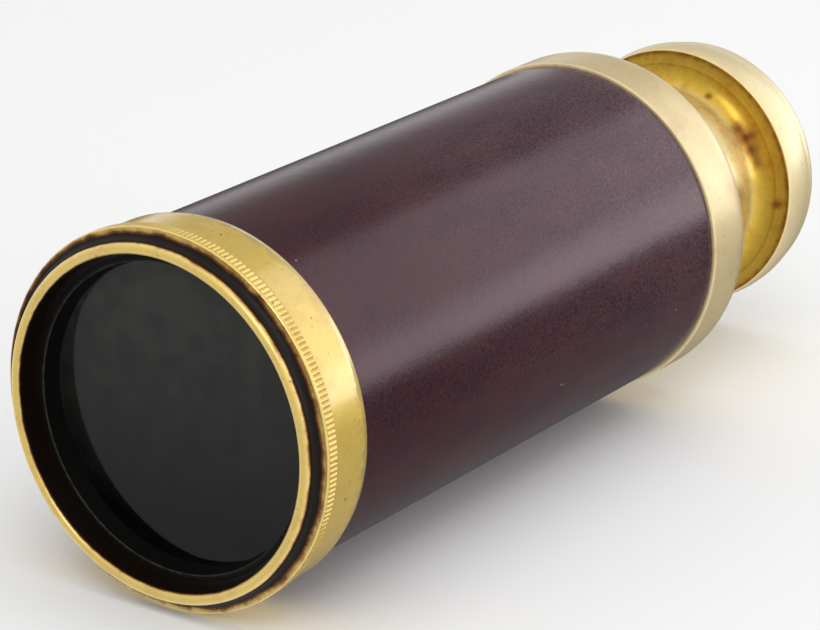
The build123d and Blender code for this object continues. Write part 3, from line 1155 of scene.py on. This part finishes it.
@dataclass
class Barrel(Assembly):
    """The lacquered tube, its two collars, and what is fixed inside it."""

    collar_edge: float = 0.15 * MM
    haze_length: float = 1.2 * MM
    chamfer_length: float = 1.08 * MM
    chamfer_drop: float = 0.34 * MM
    chamfer_edge: float = 0.05 * MM
    sleeve_edge: float = 0.06 * MM
    land_radius: float = 20.94 * MM
    land_back: float = 6.2 * MM
    seat_radius: float = 21.78 * MM
    rear_edge: float = 0.3 * MM
    rear_straight: float = 6.0 * MM
    rear_dome_drop: float = 1.53 * MM
    rear_rim_edge: float = 0.25 * MM
    rear_rim_middle: Point = (0.05 * MM, 0.06 * MM)
    dome_share: float = 0.95
    rear_wall: float = 2.5 * MM
    bush_hole_radius: float = 15.33 * MM
    bush_radius: float = 15.3 * MM
    bush_bore: float = 12.93 * MM
    bush_edge: float = 0.2 * MM
    bush_flange: float = 1.5 * MM

    def build(self) -> None:
        """Build and dress the barrel."""
        self.front_collar()
        self.sleeve()
        self.rear_collar()
        self.bush()
        self.dress("barrel_tube", self.finishes.brass)
        for number in (1, 2, 3):
            self.dress(f"mirror_{number}", self.finishes.mirror)
        self.dress("mirror_bands", self.finishes.rubber)
        for node in ("front_mirror_plate", "rear_mirror_plate"):
            self.dress(node, self.finishes.card)
        for node in ("front_packing", "rear_packing", "draw_felt"):
            self.dress(node, self.finishes.felt)

    def front_collar(self) -> None:
        """Plain band behind the knurl, chamfered towards the lacquer."""
        radius, front, back = self.extent("front_collar")
        shoulder = back - self.chamfer_length
        foot = radius - self.chamfer_drop
        edge = (self.collar_edge, self.collar_edge)
        outline = Outline(self.land_radius, front)
        outline.to(radius - self.collar_edge, steps=2)
        outline.arc(edge, (270, 360), 4)
        outline.to(station=shoulder - self.haze_length, steps=10)
        outline.to(station=shoulder, steps=4, tone=(0, 0.55))
        outline.to(foot, back - self.chamfer_edge, 4, (0.55, 0.2))
        outline.to(foot - self.chamfer_edge, back)
        outline.to(self.seat_radius)
        outline.to(station=self.land_back)
        outline.to(self.land_radius)
        outline.to(station=front)
        collar = Turned("front_collar_visual", outline)
        self.fit(collar, self.finishes.brass, "front_collar", "brass")

    def sleeve(self) -> None:
        """The lacquered tube between the collars."""
        radius, front, back = self.extent("barrel_sleeve")
        edge = self.sleeve_edge
        outline = Outline(self.seat_radius, front)
        outline.to(radius - edge)
        outline.to(radius, front + edge)
        outline.to(station=back - edge, steps=40)
        outline.to(radius - edge, back)
        outline.to(self.seat_radius)
        outline.to(station=front)
        sleeve = Turned("lacquered_sleeve", outline)
        self.fit(sleeve, self.finishes.lacquer, "barrel_sleeve", "lacquer")

    def rear_collar(self) -> None:
        """Band at the eye end with a flat end wall, domed by an arc that starts along the axis."""
        radius, front, back = self.extent("rear_collar")
        dome_front = front + self.rear_straight
        rim = radius - self.rear_dome_drop
        run = back - dome_front
        dome = (run * run + self.rear_dome_drop * self.rear_dome_drop) / (2 * self.rear_dome_drop)
        turn = math.degrees(math.asin(run / dome))
        rim_middle = (rim - self.rear_rim_middle[0], back - self.rear_rim_middle[1])
        outline = Outline(self.seat_radius, front)
        outline.to(radius - self.rear_edge)
        outline.arc((self.rear_edge, self.rear_edge), (270, 360), 4)
        outline.to(station=dome_front, steps=12)
        outline.arc((dome, dome), (0, turn * self.dome_share), 14)
        outline.bow(rim_middle, (rim - self.rear_rim_edge, back), 5)
        outline.to(self.bush_hole_radius, steps=12)
        outline.to(station=back - self.rear_wall, steps=2)
        outline.to(self.seat_radius)
        outline.to(station=front)
        collar = Turned("rear_collar_visual", outline)
        self.fit(collar, self.finishes.satin, "rear_collar", "brass")

    def bush(self) -> None:
        """Guide bush: the narrow ring seen round the neck, and its flange inside."""
        flange, front, back = self.extent("draw_bush")
        wall_front = back - self.rear_wall
        edge = (self.bush_edge, self.bush_edge)
        outline = Outline(self.bush_bore, front)
        outline.to(self.bush_radius, steps=2)
        outline.to(station=wall_front - self.bush_flange)
        outline.to(flange)
        outline.to(station=wall_front)
        outline.to(self.bush_radius)
        outline.to(station=back - self.bush_edge)
        outline.arc(edge, (0, 90), 4)
        outline.to(self.bush_bore + self.bush_edge, steps=3)
        outline.arc(edge, (90, 180), 4)
        outline.to(self.bush_bore, front)
        bush = Turned("draw_bush_visual", outline)
        self.fit(bush, self.finishes.satin, "draw_bush", "brass")


@dataclass
class Eyepiece(Assembly):
    """The sliding eyepiece: draw tube, turned body, lens and eye stop."""

    body: Body = Body.EYEPIECE
    neck_radius: float = 13.8 * MM
    neck_edge: float = 0.12 * MM
    cove_radius: float = 3.3 * MM
    cove_turn: float = 78.0
    face_width: float = 1.65 * MM
    face_slope: float = 0.67 * MM
    edge_step: float = 0.18 * MM
    edge_start: float = 0.02 * MM
    edge_middle: Point = (0.05 * MM, 0.03 * MM)
    edge_length: float = 0.12 * MM
    flange_length: float = 8.4 * MM
    belly_rise: float = 0.28 * MM
    belly_length: float = 2.4 * MM
    side_drop: float = 0.34 * MM
    side_length: float = 6.1 * MM
    rim_drop: float = 1.94 * MM
    dish_rim_width: float = 0.7 * MM
    dish_depth: float = 4.0 * MM
    dish_power: float = 0.8
    recess_radius: float = 12.8 * MM
    recess_length: float = 2.3 * MM
    lens_bore_radius: float = 12.4 * MM
    lens_shoulder_radius: float = 10.8 * MM
    tube_seat_radius: float = 12.93 * MM
    tube_wall: float = 0.8 * MM
    tube_edge: float = 0.15 * MM
    stop_hole_radius: float = 5.0 * MM
    stop_hole_flare: float = 0.7 * MM
    stop_edge: Point = (0.2 * MM, 0.1 * MM)
    lens_bulge: float = 1.3 * MM
    lens_clear_radius: float = 10.5 * MM

    def build(self) -> None:
        """Build and dress the eyepiece."""
        self.turned_body()
        self.tube()
        self.stop()
        self.lens()
        self.dress("draw_stop_ring", self.finishes.brass)
        self.dress("lens_ring", self.finishes.black)

    def turned_body(self) -> None:
        """Neck, cove, front face, bellied side, rounded rim and dish, as two finishes of brass.

        The side bows from the flange's edge over its belly, and the rim is a quarter ellipse.
        """
        shoulder, back = self.extent("eyepiece_body")[1:]
        tube_back = self.extent("draw_tube")[2]
        lens_front = self.extent("eye_lens")[1] + self.lens_bulge
        flange_front = back - self.flange_length
        turn = math.radians(self.cove_turn)
        cove_end = self.neck_radius + self.cove_radius * (1 - math.cos(turn))
        face_edge = cove_end + self.face_width
        edge = face_edge + self.edge_step
        cove_back = flange_front - self.edge_step - self.face_slope
        side_back = flange_front + self.side_length
        rim = edge - self.rim_drop
        rim_size = (self.rim_drop - self.side_drop, back - side_back)
        dish_back = back - self.dish_depth
        stop_face = dish_back - self.recess_length
        edge_middle = (edge - self.edge_middle[0], flange_front + self.edge_middle[1])
        belly = (edge + self.belly_rise, flange_front + self.belly_length)
        outline = Outline(self.tube_seat_radius, shoulder)
        outline.to(self.neck_radius - self.neck_edge)
        outline.arc((self.neck_edge, self.neck_edge), (270, 360), 3)
        outline.to(station=cove_back - self.cove_radius * math.sin(turn), steps=24)
        cove_size = (self.cove_radius, self.cove_radius)
        outline.arc(cove_size, (180, 180 - self.cove_turn), 18, (0, 0.1, 0.3))
        # Haze on the front face is tarnish; its rise to full at the outer edge, held over the small
        # step there, paints a shade line in the corner by the flange's edge.
        face_haze_and_shade = (0.55, 0.3, 0.4, 0.45, 0.5, 0.8, 1)
        outline.to(face_edge, flange_front - self.edge_step, 14, face_haze_and_shade)
        outline.to(face_edge + self.edge_start, flange_front - self.edge_start, tone=(1,))
        outline.bow(edge_middle, (edge, flange_front + self.edge_length), 3)
        outline.bow(belly, (edge - self.side_drop, side_back), 18)
        outline.arc(rim_size, (0, 90), 14)
        outline.to(rim - self.dish_rim_width, back, 2)
        outline.sag((self.recess_radius, dish_back), 14, self.dish_power)
        outline.to(station=stop_face, steps=3)
        outline.to(self.lens_bore_radius)
        outline.to(station=lens_front, steps=4)
        outline.to(self.lens_shoulder_radius)
        outline.to(station=tube_back)
        outline.to(self.tube_seat_radius)
        outline.to(station=shoulder, steps=2)
        body = Turned("turned_eyepiece", outline)
        piece = self.fit(body, self.finishes.polished, "eyepiece_body", "polished_brass")

        piece.data.materials.append(self.finishes.flange)
        centres = np.empty(len(piece.data.polygons) * 3)
        piece.data.polygons.foreach_get("center", centres)
        centres = centres.reshape(-1, 3)
        outside = np.hypot(centres[:, 0], centres[:, 2]) > self.recess_radius + 0.01 * MM
        satin = (centres[:, 1] > flange_front) & outside
        piece.data.polygons.foreach_set("material_index", satin.astype(np.int32))

    def tube(self) -> None:
        """The plain draw tube, polished outside."""
        outer, front, back = self.extent("draw_tube")
        inner, edge = outer - self.tube_wall, self.tube_edge
        outline = Outline(inner, front)
        outline.to(outer - edge)
        outline.to(outer, front + edge)
        outline.to(station=back, steps=16)
        outline.to(inner)
        outline.to(station=front, steps=2)
        tube = Turned("draw_tube_visual", outline)
        self.fit(tube, self.finishes.polished, "draw_tube", "polished_brass")

    def stop(self) -> None:
        """Black disc with a flared eye hole."""
        outer, front, back = self.extent("eye_stop")
        mouth = self.stop_hole_radius + self.stop_hole_flare
        outline = Outline(self.stop_hole_radius, front)
        outline.to(outer, steps=2)
        outline.to(station=back)
        outline.to(mouth + self.stop_edge[0], steps=8, tone=(0, 0.1))
        outline.to(mouth, back - self.stop_edge[1], 2, (0.8,))
        outline.to(self.stop_hole_radius, front, 4)
        self.fit(Turned("eye_stop_visual", outline), self.finishes.black, "eye_stop", "black")

    def lens(self) -> None:
        """Biconvex eye lens: each face is a shallow parabola inside a flat rim."""
        outer, tip_front, tip_back = self.extent("eye_lens")
        clear, bulge = self.lens_clear_radius, self.lens_bulge
        front, back = tip_front + bulge, tip_back - bulge
        share = np.arange(20) / 20
        outline = Outline(0.0, tip_front)
        outline.draw(share * clear, front - bulge * (1 - share**2), (clear, front))
        outline.to(outer)
        outline.to(station=back)
        outline.to(clear)
        outline.draw(clear * (1 - share), back + bulge * (1 - (1 - share) ** 2), (0.0, tip_back))
        shape = Turned("eye_lens_visual", outline, Close.POLES)
        self.fit(shape, self.finishes.clear, "eye_lens", "clear_glass")


# ---- Stage --------------------------------------------------------------------------


@dataclass
class Studio:
    """Pale floor, panels of light behind, beside and in front to the right, and a pale room.

    The room's brightness is given by stops: the backdrop's by height and the surround's by Y, each
    as a share of the way from -1 to 1. The backdrop lies beyond the eye end, and gives way to the
    surround over a run of the direction's Y.
    """

    floor_level: float
    floor_size: float = 6.0
    camera_place: Place = (0.2407, -0.2923, 0.1501)
    camera_forward: Place = (-0.5393, 0.7706, -0.3396)
    lens: float = 154.4
    backdrop: tuple[Point, ...] = (
        (0.1, 0.24),
        (0.34, 0.08),
        (0.48, 0.08),
        (0.5, 0.9),
        (0.56, 0.8),
        (0.64, 0.24),
        (0.8, 0.2),
    )
    surround: tuple[Point, ...] = ((0.0, 0.5), (0.2, 0.6), (0.42, 0.85), (0.7, 0.9))
    backdrop_run: Point = (0.66, 0.3)

    def floor(self) -> None:
        """Lay the floor."""
        bpy.ops.mesh.primitive_plane_add(size=self.floor_size, location=(0, 0, self.floor_level))
        floor = bpy.context.object
        floor.name = "floor"
        graph = Graph("pale_floor")
        graph.surface(Base_Color=(0.86, 0.86, 0.86, 1.0), Roughness=0.9, Specular_IOR_Level=0.1)
        floor.data.materials.append(graph.material)
        floor.visible_glossy = False
        floor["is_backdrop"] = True

    def panel(self, name: str, centre: Place, size: Point, radiance: float, aim: Place) -> None:
        """Stand a rectangular panel of light that faces a point.

        Args:
            name: Its name.
            centre: Its middle.
            size: Width and height.
            radiance: How bright its face is.
            aim: The point that it faces.
        """
        data = bpy.data.lights.new(name, "AREA")
        data.shape = "RECTANGLE"
        data.size, data.size_y = size
        data.energy = radiance * math.pi * size[0] * size[1]
        light = bpy.data.objects.new(name, data)
        turn = (Vector(aim) - Vector(centre)).to_track_quat("-Z", "Y").to_matrix().to_4x4()
        light.matrix_world = Matrix.Translation(centre) @ turn
        bpy.context.scene.collection.objects.link(light)

    def lights(self) -> None:
        """Hang the lights: two windows behind, a side panel, a key in front, and a soft sun."""
        base = self.floor_level
        self.panel("window", (0.33, 0.62, base + 0.30), (0.62, 0.60), 0.9, (0.33, 0.0, base + 0.30))
        self.panel("low_window", (0.37, 0.61, base + 0.10), (0.54, 0.20), 0.5, (0.37, 0.0, base + 0.10))
        self.panel("side", (0.75, 0.17, 0.27), (0.40, 0.46), 1.4, (0.0, 0.11, 0.0))
        self.panel("key", (0.42, -0.60, 0.66), (0.60, 0.50), 2.0, (0.0, 0.06, 0.0))
        data = bpy.data.lights.new("overhead", "SUN")
        data.energy = 0.82
        data.angle = math.radians(60)
        light = bpy.data.objects.new("overhead", data)
        light.rotation_euler = (math.radians(6), math.radians(9), 0)
        light.visible_glossy = False
        bpy.context.scene.collection.objects.link(light)

    def room(self) -> None:
        """Fill the room: pale all round, with a darker backdrop beyond the eye end."""
        world = bpy.data.worlds.new("room")
        bpy.context.scene.world = world
        world.use_nodes = True
        tree = world.node_tree
        tree.nodes.clear()
        coords = tree.nodes.new("ShaderNodeTexCoord")
        parts = tree.nodes.new("ShaderNodeSeparateXYZ")
        tree.links.new(coords.outputs["Generated"], parts.inputs["Vector"])
        halves = []
        for axis, stops in (("Z", self.backdrop), ("Y", self.surround)):
            share = tree.nodes.new("ShaderNodeMapRange")
            share.inputs["From Min"].default_value = -1.0
            ramp = tree.nodes.new("ShaderNodeValToRGB")
            self.fill_ramp(ramp, stops)
            tree.links.new(parts.outputs[axis], share.inputs["Value"])
            tree.links.new(share.outputs["Result"], ramp.inputs["Fac"])
            halves.append(ramp.outputs["Color"])
        ahead = tree.nodes.new("ShaderNodeMapRange")
        ahead.inputs["From Min"].default_value = self.backdrop_run[0]
        ahead.inputs["From Max"].default_value = self.backdrop_run[1]
        tree.links.new(parts.outputs["Y"], ahead.inputs["Value"])
        mixed = tree.nodes.new("ShaderNodeMix")
        mixed.data_type = "RGBA"
        tree.links.new(ahead.outputs["Result"], mixed.inputs[0])
        tree.links.new(halves[0], mixed.inputs[6])
        tree.links.new(halves[1], mixed.inputs[7])
        background = tree.nodes.new("ShaderNodeBackground")
        output = tree.nodes.new("ShaderNodeOutputWorld")
        tree.links.new(mixed.outputs[2], background.inputs["Color"])
        tree.links.new(background.outputs["Background"], output.inputs["Surface"])

    @staticmethod
    def fill_ramp(node: bpy.types.Node, stops: tuple[Point, ...]) -> None:
        """Set a ramp's grey stops.

        Args:
            node: The ramp.
            stops: Pairs of position and brightness.
        """
        elements = node.color_ramp.elements
        while len(elements) < len(stops):
            elements.new(0.5)
        for element, (position, grey) in zip(elements, stops):
            element.position = position
            element.color = (grey, grey, grey, 1.0)

    def camera(self) -> None:
        """Stand the camera in front, to the right and above, without roll."""
        forward = Vector(self.camera_forward).normalized()
        right = forward.cross(Vector((0, 0, 1))).normalized()
        up = right.cross(forward)
        turn = Matrix((right, up, -forward)).transposed().to_4x4()
        data = bpy.data.cameras.new("camera")
        data.lens = self.lens
        data.sensor_width = 36.0
        data.clip_start = 0.01
        camera = bpy.data.objects.new("camera", data)
        camera.matrix_world = Matrix.Translation(self.camera_place) @ turn
        bpy.context.scene.collection.objects.link(camera)
        bpy.context.scene.camera = camera

    def build(self) -> None:
        """Set up the whole stage."""
        self.floor()
        self.lights()
        self.room()
        self.camera()
        bpy.context.scene.view_settings.view_transform = "Standard"


def as_lists(bounds: object) -> list[list[float]]:
    """Turn a pair of corners into plain lists of numbers."""
    return [[float(c) for c in corner] for corner in bounds]


def main() -> None:
    """Build the object, then the stage round it."""
    logging.basicConfig(level=logging.INFO, format="%(name)s: %(message)s")
    finishes = Finishes()
    for assembly in (Barrel(finishes), ObjectCell(finishes), Eyepiece(finishes)):
        assembly.build()
        log.info("%s done", type(assembly).__name__)
    Studio(floor_level=CAD_BOX[0][2]).build()


if __name__ == "__main__":
    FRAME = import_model()
    CAD_BOX = as_lists(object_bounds())
    main()
